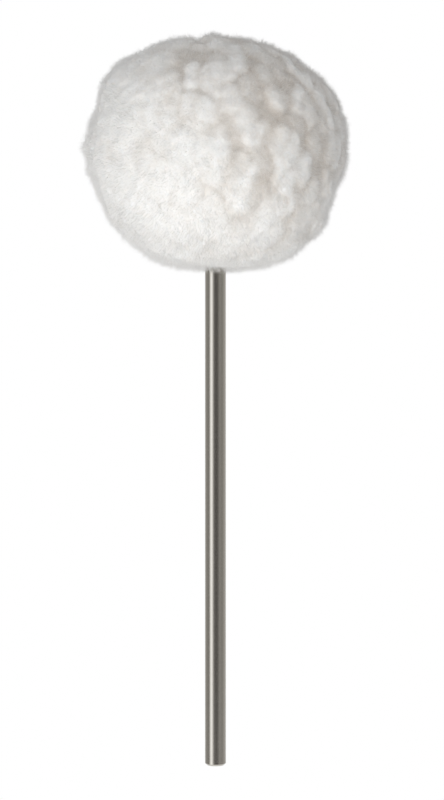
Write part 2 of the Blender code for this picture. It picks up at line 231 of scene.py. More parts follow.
def pileSurface(direction):
    # the solid pile under the fibres, and how deep in a parting this spot lies, from 0 to 1
    surface, outward = headPoint(direction)
    down = outwardDown(outward)
    warped = surface + noise.noise_vector(surface / locks["warpLength"]) * locks["warp"]
    crest = 0.0
    for shift in (-1, 0, 1):
        spot, index, away = lockTree.find(warped + down * shift * locks["stretch"])
        crest = max(crest, (1 - min(1.0, away / locks["reach"]) ** 2) * lockHeights[index])
    parting = (1 - crest) * openness(surface, outward)
    depth = locks["crestDepth"] + (locks["partingDepth"] - locks["crestDepth"]) * parting
    fine = noise.noise(surface / locks["tuftLength"]) * locks["tuftHeight"]
    fine += noise.noise(surface / locks["fluffLength"]) * locks["fluffHeight"]
    if surface.z < 0:
        collar = max(0.0, 1 - (math.hypot(surface.x, surface.y) / locks["collarRadius"]) ** 4)
        depth += (min(depth, locks["collarDepth"]) - depth) * collar
        fine *= 1 - collar
    return surface - outward * (depth + fine) + Vector((0, 0, headMiddle)), parting


def pileMesh(name, subdivisions):
    # an even ball of points, each moved out to the pile's surface
    mesh = bpy.data.meshes.new(name)
    ball = bmesh.new()
    bmesh.ops.create_icosphere(ball, subdivisions=subdivisions, radius=1.0)
    partings = []
    for vertex in ball.verts:
        vertex.co, parting = pileSurface(vertex.co.normalized())
        partings.append(parting)
    ball.to_mesh(mesh)
    ball.free()
    mesh.attributes.new("parting", "FLOAT", "POINT").data.foreach_set("value", partings)
    return mesh


# Pile: bleached lambswool, matt and near white, and light that gets into it comes back warmer; deep in the
# partings between the locks its colour is darker and warmer, partly the creamier wool low in the pile and
# partly painted shade
pile = {
    "subdivisions": 7,
    "grainsPerMetre": 900.0,  # 1.1 mm, the matting of the wool
    "grainDepth": 0.0004,
    "crest": "#f6f5f3",
    # the partings' colour: partly creamier wool, partly painted shade
    "parting": "#dcd6cf",
    "glow": (1.0, 0.95, 0.9),  # red, green and blue light's ways into the wool, as shares of the scale
}
lambswoolPile, tree, shader = newMaterial(
    "lambswoolPile", Roughness=0.95, Specular_IOR_Level=0.15, Subsurface_Weight=1.0, Subsurface_Scale=0.002,
    Subsurface_Radius=pile["glow"])
coordinates = addNode(tree, "ShaderNodeTexCoord").outputs["Object"]
grain = addNode(tree, "ShaderNodeTexNoise", {
    "Vector": coordinates, "Scale": pile["grainsPerMetre"], "Detail": 4.0, "Roughness": 0.65})
# the matting's grain varies the tone, and the depth in a parting darkens it: painted shade, with creamier
# wool
partingCreamAndShade = addNode(tree, "ShaderNodeAttribute", attribute_type="GEOMETRY", attribute_name="parting")
grainAndPartingShade = addNode(tree, "ShaderNodeMath", {
    0: grain.outputs["Fac"], 1: 0.5, 2: partingCreamAndShade.outputs["Fac"]}, operation="MULTIPLY_ADD")
pileTintAndShade = addNode(tree, "ShaderNodeValToRGB", {"Fac": grainAndPartingShade.outputs[0]}, stops=(
    (0.35, pile["crest"]), (1.0, pile["parting"])))
matted = addNode(tree, "ShaderNodeBump", {
    "Height": grain.outputs["Fac"], "Strength": 0.5, "Distance": pile["grainDepth"]})
feed(shader, Base_Color=pileTintAndShade.outputs["Color"], Normal=matted.outputs["Normal"])

# Fibres: the same wool, loose, which softens the outline; each is painted a little darker at its root as
# shade, and those in a parting are darker and warmer, partly creamier wool and partly painted shade
# their own map runs from root to tip along U, and V is each one's tone
# the root's colour is painted shade; the parting's colour is partly creamier wool, partly painted shade
fibre = {"root": "#f4f2ef", "tip": "#fbfbfa", "partingCreamAndShade": "#e5e0da", "onCrest": "#ffffff"}
lambswoolFibre, tree, shader = newMaterial(
    "lambswoolFibre", Roughness=0.9, Specular_IOR_Level=0.15, Subsurface_Weight=0.8, Subsurface_Scale=0.0005,
    Subsurface_Radius=pile["glow"])
fibreMap = addNode(tree, "ShaderNodeUVMap", uv_map="OFBake")
parts = addNode(tree, "ShaderNodeSeparateXYZ", {"Vector": fibreMap.outputs["UV"]})
rootShadeToTip = addNode(tree, "ShaderNodeValToRGB", {"Fac": parts.outputs["X"]}, stops=(
    (0.1, fibre["root"]), (0.7, fibre["tip"])))
partingShadeToCrest = addNode(tree, "ShaderNodeValToRGB", {"Fac": parts.outputs["Y"]}, stops=(
    (0.25, fibre["partingCreamAndShade"]), (0.85, fibre["onCrest"])))
mixed = addNode(tree, "ShaderNodeMix", {
    0: 1.0, 6: rootShadeToTip.outputs["Color"], 7: partingShadeToCrest.outputs["Color"]},
    data_type="RGBA", blend_type="MULTIPLY")
feed(shader, Base_Color=mixed.outputs[2])

pileBody = newObject("fleece_pile", pileMesh("fleece_pile", pile["subdivisions"]), lambswoolPile)
rootMesh = pileBody.data.copy()

# Hollow: the pile has one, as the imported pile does, which the core in its cloth fills
core = {
    "width": 0.068,
    "height": 0.058,
    "flatRadius": 0.0150,  # of the core's flat top and bottom
    "squareness": 2.25,
    "wrap": 0.0018,  # the cloth and its ease round the core
    "sideSteps": 12,  # above and below the middle
    "flatStep": 0.001,  # a point this far in on a flat gives the flat's direction
    "leastMitre": 0.5,  # keeps the wrap from running out at a sharp corner
    # the gathered cloth at the neck and at the crown
    "neckRadius": 0.0070,
    "neckLow": 0.1899,
    "crownRadius": 0.0049,
    "crownHigh": 0.2673,
    "shaftClearance": 0.0003,
    "cutLow": 0.175,  # well below the fleece
}


def hollowOutline():
    # (radius, height) from the crown down the wrapped core to the shaft
    edge = math.acos((2 * core["flatRadius"] / core["width"]) ** (core["squareness"] / 2))
    power = 2 / core["squareness"]
    fullHeight = core["height"] / 2 / math.sin(edge) ** power
    side = []
    for i in range(2 * core["sideSteps"] + 1):
        turn = edge * (1 - i / core["sideSteps"])
        out = core["width"] / 2 * math.cos(turn) ** power
        side.append(Vector((out, math.copysign(fullHeight * abs(math.sin(turn)) ** power, turn))))
    inward = Vector((core["flatStep"], 0))
    line = [side[0] - inward, *side, side[-1] - inward]
    wrapped = []
    for before, here, after in zip(line, line[1:], line[2:]):
        runs = [(b - a).normalized() for a, b in ((before, here), (here, after))]
        sides = [Vector((-run.y, run.x)) for run in runs]
        mitre = (sides[0] + sides[1]).normalized()
        wrapped.append(here + mitre * core["wrap"] / max(mitre.dot(sides[0]), core["leastMitre"]))
    return [
        (0.0, core["crownHigh"]),
        (core["crownRadius"], core["crownHigh"]),
        (core["crownRadius"], headMiddle + core["height"] / 2 + core["wrap"]),
        *((point.x, headMiddle + point.y) for point in wrapped),
        (core["neckRadius"], headMiddle - core["height"] / 2 - core["wrap"]),
        (core["neckRadius"], core["neckLow"]),
        (shaftRadius + core["shaftClearance"], core["neckLow"]),
        (shaftRadius + core["shaftClearance"], core["cutLow"]),
        (0.0, core["cutLow"]),
    ]


def turnedMesh(name, outline, steps=48):
    # a closed turned solid from (radius, height) points, with both ends on the axis
    mesh = bpy.data.meshes.new(name)
    body = bmesh.new()
    rings = []
    for r, z in outline:
        turns = [2 * math.pi * i / steps for i in range(steps)] if r > 0 else [0.0]
        rings.append([body.verts.new((r * math.cos(turn), r * math.sin(turn), z)) for turn in turns])
    for upper, lower in zip(rings, rings[1:]):
        for i in range(steps):
            k = (i + 1) % steps
            corners = [ring[j % len(ring)] for ring, j in ((upper, i), (upper, k), (lower, k), (lower, i))]
            body.faces.new(list(dict.fromkeys(corners)))
    bmesh.ops.recalc_face_normals(body, faces=body.faces)
    body.to_mesh(mesh)
    body.free()
    return mesh


cutter = newObject("pileHollow", turnedMesh("pileHollow", hollowOutline()))
cut = pileBody.modifiers.new("hollow", "BOOLEAN")
cut.operation = "DIFFERENCE"
cut.object = cutter
applyModifiers(pileBody)
bpy.data.objects.remove(cutter, do_unlink=True)
pileBody.data.shade_smooth()
print("pile made:", len(pileBody.data.polygons), "faces")

# Wool: short curled fibres that stand out from the locks, grown by Geometry Nodes
wool = {
    "density": 3.9e6,  # to the square metre of the pile
    "seed": 5,
    "sectors": 10,  # pieces round the head, so that none has too many faces
    "length": 0.0013,
    "shortest": 0.7,  # of the length
    "lengthSeed": 13,
    "rootDepth": 0.0003,  # under the pile's surface
    "rootClearance": 0.0008,  # no root is nearer the shaft
    "fibreClearance": 0.0004,  # and no fibre
    "bendAt": 0.6,  # a fibre stands straight up to here, of its length
    "points": 3,
    # neighbours gather into small strands
    "strandSpacing": 0.0013,
    "strandDensity": 1.4e6,
    "strandSeed": 3,
    "strandPull": 0.25,
    # what moves the tips: their weight, a lean that neighbours share, and chance
    "sag": 0.0003,
    "swirl": 0.0007,
    "swirlLength": 0.006,
    "stray": 0.0010,
    "straySeed": 9,
    # what moves the rest: crimp, shared by neighbours, and frizz, each fibre's own
    "crimp": 0.0003,
    "crimpLength": 0.0026,
    "frizz": 0.0002,
    "frizzLength": 0.0012,
    "frizzApart": 40.0,
    "noiseGain": 4.0,  # Blender's noise stays near its middle
    "rootRadius": 0.00004,
    "tipRadius": 0.00002,
    # tones, from 0, warm and darker, to 1, white; in a parting the tone is lowered, partly creamier wool and
    # partly painted shade
    "toneLeast": 0.78,
    "toneMost": 0.92,
    "toneSeed": 21,
    # painted shade, with creamier wool, deeper in a parting
    "partingShadeTone": -0.36,  # added at the bottom of a parting
    # the map, and how much wider it is round each tube, so that no face of it is thin
    "mapMargin": 0.03,
    "mapWidth": 0.012,
}


def woolInputs(tree):
    # the tree's named inputs, and the identifiers that set them on a modifier
    face = tree.interface
    face.new_socket("Geometry", in_out="OUTPUT", socket_type="NodeSocketGeometry")
    face.new_socket("Geometry", in_out="INPUT", socket_type="NodeSocketGeometry")
    sockets = {}
    for name, value in (
        ("Density", wool["density"]),
        ("Length", wool["length"]),
        ("Shortest", wool["shortest"]),
        ("Strand Spacing", wool["strandSpacing"]),
        ("Strand Pull", wool["strandPull"]),
        ("Sag", wool["sag"]),
        ("Swirl", wool["swirl"]),
        ("Stray", wool["stray"]),
        ("Root Radius", wool["rootRadius"]),
        ("Tip Radius", wool["tipRadius"]),
        ("Crimp", wool["crimp"]),
        ("Frizz", wool["frizz"]),
        ("Sector From", 0.0),
        ("Sector To", 1.0),
        ("Seed", wool["seed"]),
    ):
        kind = "NodeSocketInt" if isinstance(value, int) else "NodeSocketFloat"
        socket = face.new_socket(name, in_out="INPUT", socket_type=kind)
        socket.default_value = value
        sockets[name] = socket.identifier
    return sockets


def halfwayOut(tree, normal, radial):
    # between the pile's own way up and straight out of the head
    both = addNode(tree, "ShaderNodeVectorMath", {0: normal, 1: radial}, operation="ADD")
    return addNode(tree, "ShaderNodeVectorMath", {0: both.outputs[0]}, operation="NORMALIZE").outputs[0]


def sectorRoots(tree, given, place):
    # the fibres' roots, kept to this piece's sector of the head, and the pile's normals there
    roots = addNode(tree, "GeometryNodeDistributePointsOnFaces", {
        "Mesh": given["Geometry"], "Density": given["Density"], "Seed": given["Seed"]})
    axes = addNode(tree, "ShaderNodeSeparateXYZ", {"Vector": place}).outputs
    angle = addNode(tree, "ShaderNodeMath", {0: axes["Y"], 1: axes["X"]}, operation="ARCTAN2")
    turn = addNode(tree, "ShaderNodeMapRange", {
        "Value": angle.outputs[0], "From Min": -math.pi, "From Max": math.pi}).outputs[0]
    before = addNode(tree, "ShaderNodeMath", {0: turn, 1: given["Sector From"]}, operation="LESS_THAN")
    after = addNode(tree, "ShaderNodeMath", {0: turn, 1: given["Sector To"]}, operation="GREATER_THAN")
    outside = addNode(tree, "ShaderNodeMath", {
        0: before.outputs[0], 1: after.outputs[0]}, operation="MAXIMUM")
    kept = addNode(tree, "GeometryNodeDeleteGeometry", {
        "Geometry": roots.outputs["Points"], "Selection": outside.outputs[0]}, domain="POINT")
    return kept.outputs["Geometry"], roots.outputs["Normal"]


def nearestStrandTip(tree, given, place, radial):
    # strands: small bunches within a lock, each with its own way out of the pile
    strands = addNode(tree, "GeometryNodeDistributePointsOnFaces", {
        "Mesh": given["Geometry"], "Distance Min": given["Strand Spacing"],
        "Density Max": wool["strandDensity"], "Seed": wool["strandSeed"]}, distribute_method="POISSON")
    strandWay = halfwayOut(tree, strands.outputs["Normal"], radial)
    bunches = addNode(tree, "GeometryNodeStoreNamedAttribute", {
        "Geometry": strands.outputs["Points"], "Name": "way", "Value": strandWay},
        data_type="FLOAT_VECTOR", domain="POINT").outputs["Geometry"]
    keptWay = addNode(tree, "GeometryNodeInputNamedAttribute", {"Name": "way"}, data_type="FLOAT_VECTOR")
    nearest = addNode(tree, "GeometryNodeSampleNearest", {"Geometry": bunches}, domain="POINT")
    base, way = (
        addNode(tree, "GeometryNodeSampleIndex", {
            "Geometry": bunches, "Index": nearest.outputs["Index"], "Value": value}, data_type="FLOAT_VECTOR")
        for value in (place, keptWay.outputs["Attribute"]))
    rise = addNode(tree, "ShaderNodeVectorMath", {
        0: way.outputs["Value"], "Scale": given["Length"]}, operation="SCALE")
    return addNode(tree, "ShaderNodeVectorMath", {
        0: base.outputs["Value"], 1: rise.outputs[0]}, operation="ADD").outputs[0]


def fibreEnds(tree, given, place, radial, normal):
    # each fibre's rise out of the pile, and its tip: drawn in to its strand's, leaning, astray and hung
    share = addNode(tree, "FunctionNodeRandomValue", {
        2: given["Shortest"], 3: 1.0, "Seed": wool["lengthSeed"]}, data_type="FLOAT")
    length = addNode(tree, "ShaderNodeMath", {0: share.outputs[1], 1: given["Length"]}, operation="MULTIPLY")
    rise = addNode(tree, "ShaderNodeVectorMath", {
        0: halfwayOut(tree, normal, radial), "Scale": length.outputs[0]}, operation="SCALE").outputs[0]
    ownTip = addNode(tree, "ShaderNodeVectorMath", {0: place, 1: rise}, operation="ADD")
    tip = addNode(tree, "ShaderNodeMix", {
        0: given["Strand Pull"], 4: ownTip.outputs[0], 5: nearestStrandTip(tree, given, place, radial)},
        data_type="VECTOR")

    swirls = addNode(tree, "ShaderNodeTexNoise", {
        "Vector": place, "Scale": 1 / wool["swirlLength"], "Detail": 1.0})
    eitherWay = addNode(tree, "ShaderNodeVectorMath", {
        0: swirls.outputs["Color"], 1: (0.5, 0.5, 0.5)}, operation="SUBTRACT")
    swirl = addNode(tree, "ShaderNodeMath", {0: given["Swirl"], 1: wool["noiseGain"]}, operation="MULTIPLY")
    leaning = addNode(tree, "ShaderNodeVectorMath", {
        0: eitherWay.outputs[0], "Scale": swirl.outputs[0]}, operation="SCALE")
    chance = addNode(tree, "FunctionNodeRandomValue", {
        0: (-1, -1, -1), 1: (1, 1, 1), "Seed": wool["straySeed"]}, data_type="FLOAT_VECTOR")
    astray = addNode(tree, "ShaderNodeVectorMath", {
        0: chance.outputs[0], "Scale": given["Stray"]}, operation="SCALE")
    hung = addNode(tree, "ShaderNodeVectorMath", {0: (0, 0, -1), "Scale": given["Sag"]}, operation="SCALE")
    end = tip.outputs[1]
    for shift in (leaning, astray, hung):
        moved = addNode(tree, "ShaderNodeVectorMath", {0: end, 1: shift.outputs[0]}, operation="ADD")
        end = moved.outputs[0]
    return rise, end


def fibreToneAndShade(tree):
    # pale on a crest and darker and warmer in a parting, partly creamier wool and partly painted shade, give
    # or take a little
    own = addNode(tree, "FunctionNodeRandomValue", {
        2: wool["toneLeast"], 3: wool["toneMost"], "Seed": wool["toneSeed"]}, data_type="FLOAT")
    partingShadeMask = addNode(tree, "GeometryNodeInputNamedAttribute", {"Name": "parting"}, data_type="FLOAT")
    return addNode(tree, "ShaderNodeMath", {
        0: partingShadeMask.outputs["Attribute"], 1: wool["partingShadeTone"], 2: own.outputs[1]},
        operation="MULTIPLY_ADD").outputs[0]


def bentFibre(tree, along):
    # from its root over its lift to its tip
    root, lift, end = (
        addNode(tree, "GeometryNodeInputNamedAttribute", {"Name": name}, data_type="FLOAT_VECTOR").outputs[0]
        for name in ("root", "lift", "end"))
    over = addNode(tree, "ShaderNodeVectorMath", {0: root, 1: lift}, operation="ADD").outputs[0]
    first = addNode(tree, "ShaderNodeMix", {0: along, 4: root, 5: over}, data_type="VECTOR").outputs[1]
    second = addNode(tree, "ShaderNodeMix", {0: along, 4: over, 5: end}, data_type="VECTOR").outputs[1]
    return addNode(tree, "ShaderNodeMix", {0: along, 4: first, 5: second}, data_type="VECTOR").outputs[1]


def curledFibre(tree, given, curve, along, tone):
    # more towards its tip; the tone tells one fibre's frizz from the next
    where = curve
    for amount, length, apart in (
        (given["Crimp"], wool["crimpLength"], 0.0),
        (given["Frizz"], wool["frizzLength"], wool["frizzApart"]),
    ):
        which = addNode(tree, "ShaderNodeMath", {0: tone, 1: apart}, operation="MULTIPLY")
        waves = addNode(tree, "ShaderNodeTexNoise", {
            "Vector": curve, "W": which.outputs[0], "Scale": 1 / length, "Detail": 1.0},
            noise_dimensions="4D")
        eitherWay = addNode(tree, "ShaderNodeVectorMath", {
            0: waves.outputs["Color"], 1: (0.5, 0.5, 0.5)}, operation="SUBTRACT")
        reach = addNode(tree, "ShaderNodeMath", {0: amount, 1: along}, operation="MULTIPLY")
        reach = addNode(tree, "ShaderNodeMath", {
            0: reach.outputs[0], 1: wool["noiseGain"]}, operation="MULTIPLY")
        sway = addNode(tree, "ShaderNodeVectorMath", {
            0: eitherWay.outputs[0], "Scale": reach.outputs[0]}, operation="SCALE")
        swayed = addNode(tree, "ShaderNodeVectorMath", {0: where, 1: sway.outputs[0]}, operation="ADD")
        where = swayed.outputs[0]
    return where


def clearOfShaft(tree, where):
    # below the head's middle what would lie in the shaft is pushed out of it
    axes = addNode(tree, "ShaderNodeSeparateXYZ", {"Vector": where}).outputs
    flat = addNode(tree, "ShaderNodeCombineXYZ", {"X": axes["X"], "Y": axes["Y"]})
    fromAxis = addNode(tree, "ShaderNodeVectorMath", {0: flat.outputs[0]}, operation="LENGTH")
    push = addNode(tree, "ShaderNodeMath", {
        0: shaftRadius + wool["fibreClearance"], 1: fromAxis.outputs["Value"]}, operation="DIVIDE")
    push = addNode(tree, "ShaderNodeMath", {0: push.outputs[0], 1: 1.0}, operation="MAXIMUM")
    low = addNode(tree, "ShaderNodeMath", {0: axes["Z"], 1: headMiddle}, operation="LESS_THAN")
    push = addNode(tree, "ShaderNodeMix", {0: low.outputs[0], 2: 1.0, 3: push.outputs[0]}, data_type="FLOAT")
    pushed = addNode(tree, "ShaderNodeVectorMath", {
        0: flat.outputs[0], "Scale": push.outputs[0]}, operation="SCALE")
    pushed = addNode(tree, "ShaderNodeSeparateXYZ", {"Vector": pushed.outputs[0]}).outputs
    return addNode(tree, "ShaderNodeCombineXYZ", {
        "X": pushed["X"], "Y": pushed["Y"], "Z": axes["Z"]}).outputs[0]


def mappedTubes(tree, given, curves, along, tone):
    # tubes of three sides that taper to their tips, with the map for their material
    curves = addNode(tree, "GeometryNodeStoreNamedAttribute", {
        "Geometry": curves, "Name": "along", "Value": along}, data_type="FLOAT", domain="POINT")
    ring = addNode(tree, "GeometryNodeCurvePrimitiveCircle", {"Resolution": 3, "Radius": 1.0})
    corner = addNode(tree, "GeometryNodeInputIndex").outputs[0]
    turn = addNode(tree, "ShaderNodeMath", {0: corner, 1: 2 * math.pi / 3}, operation="MULTIPLY")
    ring = addNode(tree, "GeometryNodeStoreNamedAttribute", {
        "Geometry": ring.outputs["Curve"], "Name": "side", "Value": turn.outputs[0]},
        data_type="FLOAT", domain="POINT")
    taper = addNode(tree, "ShaderNodeMix", {
        0: along, 2: given["Root Radius"], 3: given["Tip Radius"]}, data_type="FLOAT")
    tubes = addNode(tree, "GeometryNodeCurveToMesh", {
        "Curve": curves.outputs["Geometry"], "Profile Curve": ring.outputs["Geometry"],
        "Scale": taper.outputs[0], "Fill Caps": True})

    # U runs from root to tip, and V is the tone
    alongTube, side = (
        addNode(tree, "GeometryNodeInputNamedAttribute", {"Name": name}, data_type="FLOAT").outputs[0]
        for name in ("along", "side"))
    sine = addNode(tree, "ShaderNodeMath", {0: side}, operation="SINE")
    cosine = addNode(tree, "ShaderNodeMath", {0: side}, operation="COSINE")
    u = addNode(tree, "ShaderNodeMath", {
        0: alongTube, 1: 1 - 2 * wool["mapMargin"], 2: wool["mapMargin"]}, operation="MULTIPLY_ADD")
    u = addNode(tree, "ShaderNodeMath", {
        0: sine.outputs[0], 1: wool["mapWidth"], 2: u.outputs[0]}, operation="MULTIPLY_ADD")
    v = addNode(tree, "ShaderNodeMath", {
        0: cosine.outputs[0], 1: wool["mapWidth"], 2: tone}, operation="MULTIPLY_ADD")
    uv = addNode(tree, "ShaderNodeCombineXYZ", {"X": u.outputs[0], "Y": v.outputs[0]})
    return addNode(tree, "GeometryNodeStoreNamedAttribute", {
        "Geometry": tubes.outputs["Mesh"], "Name": "OFBake", "Value": uv.outputs[0]},
        data_type="FLOAT2", domain="CORNER").outputs["Geometry"]


def woolTree(material):
    # grows the wool on one sector of the pile
    tree = bpy.data.node_groups.new("woolOnPile", "GeometryNodeTree")
    sockets = woolInputs(tree)
    given = addNode(tree, "NodeGroupInput").outputs
    place = addNode(tree, "GeometryNodeInputPosition").outputs["Position"]
    radial = addNode(tree, "ShaderNodeVectorMath", {
        0: place, 1: (0, 0, headMiddle)}, operation="SUBTRACT").outputs[0]
    radial = addNode(tree, "ShaderNodeVectorMath", {0: radial}, operation="NORMALIZE").outputs[0]

    # each root keeps what shapes its fibre
    held, normal = sectorRoots(tree, given, place)
    rise, end = fibreEnds(tree, given, place, radial, normal)
    lift = addNode(tree, "ShaderNodeVectorMath", {0: rise, "Scale": wool["bendAt"]}, operation="SCALE")
    sunk = addNode(tree, "ShaderNodeVectorMath", {0: normal, "Scale": -wool["rootDepth"]}, operation="SCALE")
    root = addNode(tree, "ShaderNodeVectorMath", {0: place, 1: sunk.outputs[0]}, operation="ADD")
    for name, kind, value in (
        ("root", "FLOAT_VECTOR", root.outputs[0]),
        ("lift", "FLOAT_VECTOR", lift.outputs[0]),
        ("end", "FLOAT_VECTOR", end),
        ("tone", "FLOAT", fibreToneAndShade(tree)),
    ):
        held = addNode(tree, "GeometryNodeStoreNamedAttribute", {
            "Geometry": held, "Name": name, "Value": value}, data_type=kind, domain="POINT").outputs[0]

    # a short line is put on every root, and then shaped
    line = addNode(tree, "GeometryNodeCurvePrimitiveLine", {"Start": (0, 0, 0), "End": (0, 0, 0.001)})
    line = addNode(tree, "GeometryNodeResampleCurve", {
        "Curve": line.outputs["Curve"], "Count": wool["points"]})
    fibres = addNode(tree, "GeometryNodeInstanceOnPoints", {
        "Points": held, "Instance": line.outputs["Curve"]})
    fibres = addNode(tree, "GeometryNodeRealizeInstances", {"Geometry": fibres.outputs["Instances"]})
    along = addNode(tree, "GeometryNodeSplineParameter").outputs["Factor"]
    tone = addNode(tree, "GeometryNodeInputNamedAttribute", {"Name": "tone"}, data_type="FLOAT").outputs[0]
    where = curledFibre(tree, given, bentFibre(tree, along), along, tone)
    shaped = addNode(tree, "GeometryNodeSetPosition", {
        "Geometry": fibres.outputs["Geometry"], "Position": clearOfShaft(tree, where)})

    clean = mappedTubes(tree, given, shaped.outputs["Geometry"], along, tone)
    for name in ("root", "lift", "end", "tone", "along", "side"):
        clean = addNode(tree, "GeometryNodeRemoveAttribute", {"Geometry": clean, "Name": name}).outputs[0]
    real = addNode(tree, "GeometryNodeRealizeInstances", {"Geometry": clean})
    painted = addNode(tree, "GeometryNodeSetMaterial", {
        "Geometry": real.outputs["Geometry"], "Material": material})
    addNode(tree, "NodeGroupOutput", {"Geometry": painted.outputs["Geometry"]})
    return tree, sockets


# no fibre is rooted where the shaft passes
trim = bmesh.new()
trim.from_mesh(rootMesh)
passing = []
for face in trim.faces:
    middle = face.calc_center_median()
    if middle.z < headMiddle and math.hypot(middle.x, middle.y) < shaftRadius + wool["rootClearance"]:
        passing.append(face)
bmesh.ops.delete(trim, geom=passing, context="FACES")
trim.to_mesh(rootMesh)
trim.free()
rootMesh.materials.clear()

fibreTree, fibreSockets = woolTree(lambswoolFibre)
fibrePieces = []
for sector in range(wool["sectors"]):
    grown = newObject(f"wool_fibres_{sector + 1}", rootMesh.copy())
    grower = grown.modifiers.new("wool", "NODES")
    grower.node_group = fibreTree
    grower[fibreSockets["Sector From"]] = sector / wool["sectors"]
    grower[fibreSockets["Sector To"]] = (sector + 1) / wool["sectors"]
    mesh = applyModifiers(grown)
    mesh.shade_smooth()
    fibrePieces.append(grown)
    print(grown.name, len(mesh.polygons), "faces")
print("wool grown")

for piece in [pileBody, *fibrePieces]:
    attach(piece, "root")
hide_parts("cover_pile")

# Shaft: stainless steel rod, centreless ground, so its fine lines run round it and blur what it mirrors
# the grinding lines are drawn at 0.15 mm, coarser than the real ones, which no render would show
ground = {
    "linesUp": 6700.0,  # to the metre
    "linesAcross": 60.0,  # few, so that each line runs far round the rod
    "dark": "#bab7b1",
    "pale": "#bfbcb6",
    "darkRoughness": 0.19,
    "paleRoughness": 0.22,
}
groundSteel, tree, shader = newMaterial("groundStainlessSteel", Metallic=1.0)
coordinates = addNode(tree, "ShaderNodeTexCoord").outputs["Object"]
stretched = addNode(tree, "ShaderNodeMapping", {
    "Vector": coordinates, "Scale": (ground["linesAcross"], ground["linesAcross"], ground["linesUp"])})
lines = addNode(tree, "ShaderNodeTexNoise", {"Vector": stretched.outputs[0], "Scale": 1.0, "Detail": 2.0})
blur = addNode(tree, "ShaderNodeMapRange", {
    "Value": lines.outputs["Fac"], "From Min": 0.3, "From Max": 0.7,
    "To Min": ground["darkRoughness"], "To Max": ground["paleRoughness"]})
steelTint = addNode(tree, "ShaderNodeValToRGB", {"Fac": lines.outputs["Fac"]}, stops=(
    (0.25, ground["dark"]), (0.75, ground["pale"])))
feed(shader, Base_Color=steelTint.outputs["Color"], Roughness=blur.outputs[0])

# Washers and nut: mild steel, barrel plated with bright zinc: bluish, softly clouded and rubbed
zinc = {
    "cloud": 0.004,
    "rub": 0.0005,
    "rubDepth": 0.00002,
    "dull": "#adb1b7",
    "bright": "#c7cacd",
    "dullRoughness": 0.42,
    "brightRoughness": 0.26,
}
zincPlate, tree, shader = newMaterial("zincPlatedSteel", Metallic=1.0)
coordinates = addNode(tree, "ShaderNodeTexCoord").outputs["Object"]
clouds = addNode(tree, "ShaderNodeTexNoise", {
    "Vector": coordinates, "Scale": 1 / zinc["cloud"], "Detail": 3.0})
rubs = addNode(tree, "ShaderNodeTexNoise", {
    "Vector": coordinates, "Scale": 1 / zinc["rub"], "Detail": 2.0, "Distortion": 1.2})
plateTint = addNode(tree, "ShaderNodeValToRGB", {"Fac": clouds.outputs["Fac"]}, stops=(
    (0.3, zinc["dull"]), (0.7, zinc["bright"])))
haze = addNode(tree, "ShaderNodeMapRange", {
    "Value": clouds.outputs["Fac"], "From Min": 0.3, "From Max": 0.7,
    "To Min": zinc["dullRoughness"], "To Max": zinc["brightRoughness"]})
rubbed = addNode(tree, "ShaderNodeBump", {
    "Height": rubs.outputs["Fac"], "Strength": 0.5, "Distance": zinc["rubDepth"]})
feed(
    shader, Base_Color=plateTint.outputs["Color"], Roughness=haze.outputs[0],
    Normal=rubbed.outputs["Normal"])

# Core sleeve: drawn aluminium tube cut to length, pale and soft, with the die's fine lines along it
drawn = {
    "lineWidth": 0.00018,
    "lineLength": 0.012,
    "dark": "#b9babc",
    "pale": "#d3d4d5",
    "darkRoughness": 0.44,
    "paleRoughness": 0.34,
}
drawnAluminium, tree, shader = newMaterial("drawnAluminiumTube", Metallic=1.0)
coordinates = addNode(tree, "ShaderNodeTexCoord").outputs["Object"]
across, up = 1 / drawn["lineWidth"], 1 / drawn["lineLength"]
stretched = addNode(tree, "ShaderNodeMapping", {"Vector": coordinates, "Scale": (across, across, up)})
dieLines = addNode(tree, "ShaderNodeTexNoise", {"Vector": stretched.outputs[0], "Scale": 1.0, "Detail": 2.0})
tubeTint = addNode(tree, "ShaderNodeValToRGB", {"Fac": dieLines.outputs["Fac"]}, stops=(
    (0.3, drawn["dark"]), (0.7, drawn["pale"])))
satin = addNode(tree, "ShaderNodeMapRange", {
    "Value": dieLines.outputs["Fac"], "From Min": 0.3, "From Max": 0.7,
    "To Min": drawn["darkRoughness"], "To Max": drawn["paleRoughness"]})
feed(shader, Base_Color=tubeTint.outputs["Color"], Roughness=satin.outputs[0])

# Core and plug: hard pressed wool felt, the plug punched from a paler and finer sheet
felt = {
    # shade, pale tone and the size of the matting
    "core": ("#c3bbab", "#dfd9cc", 0.0011),
    "plug": ("#d0c9bc", "#e8e3d8", 0.0008),
    "densityLength": 0.007,
    "densityShare": 0.35,
    "napDepth": 0.0003,
}


def pressedFelt(name, shade, pale, matting):
    # wool matted under a press: no weave, only crossing hairs and soft cloudy density
    material, tree, shader = newMaterial(name, Roughness=0.95, Specular_IOR_Level=0.15)
    coordinates = addNode(tree, "ShaderNodeTexCoord").outputs["Object"]
    hairs = addNode(tree, "ShaderNodeTexNoise", {
        "Vector": coordinates, "Scale": 1 / matting, "Detail": 6.0, "Roughness": 0.7, "Distortion": 2.2})
    density = addNode(tree, "ShaderNodeTexNoise", {
        "Vector": coordinates, "Scale": 1 / felt["densityLength"], "Detail": 2.0})
    both = addNode(tree, "ShaderNodeMath", {
        0: density.outputs["Fac"], 1: felt["densityShare"], 2: hairs.outputs["Fac"]},
        operation="MULTIPLY_ADD")
    woolTint = addNode(tree, "ShaderNodeValToRGB", {"Fac": both.outputs[0]}, stops=(
        (0.5, shade), (0.82, pale)))
    nap = addNode(tree, "ShaderNodeBump", {
        "Height": hairs.outputs["Fac"], "Strength": 0.7, "Distance": felt["napDepth"]})
    feed(shader, Base_Color=woolTint.outputs["Color"], Normal=nap.outputs["Normal"])
    return material


coreFelt = pressedFelt("hardCoreFelt", *felt["core"])
plugFelt = pressedFelt("plugFelt", *felt["plug"])

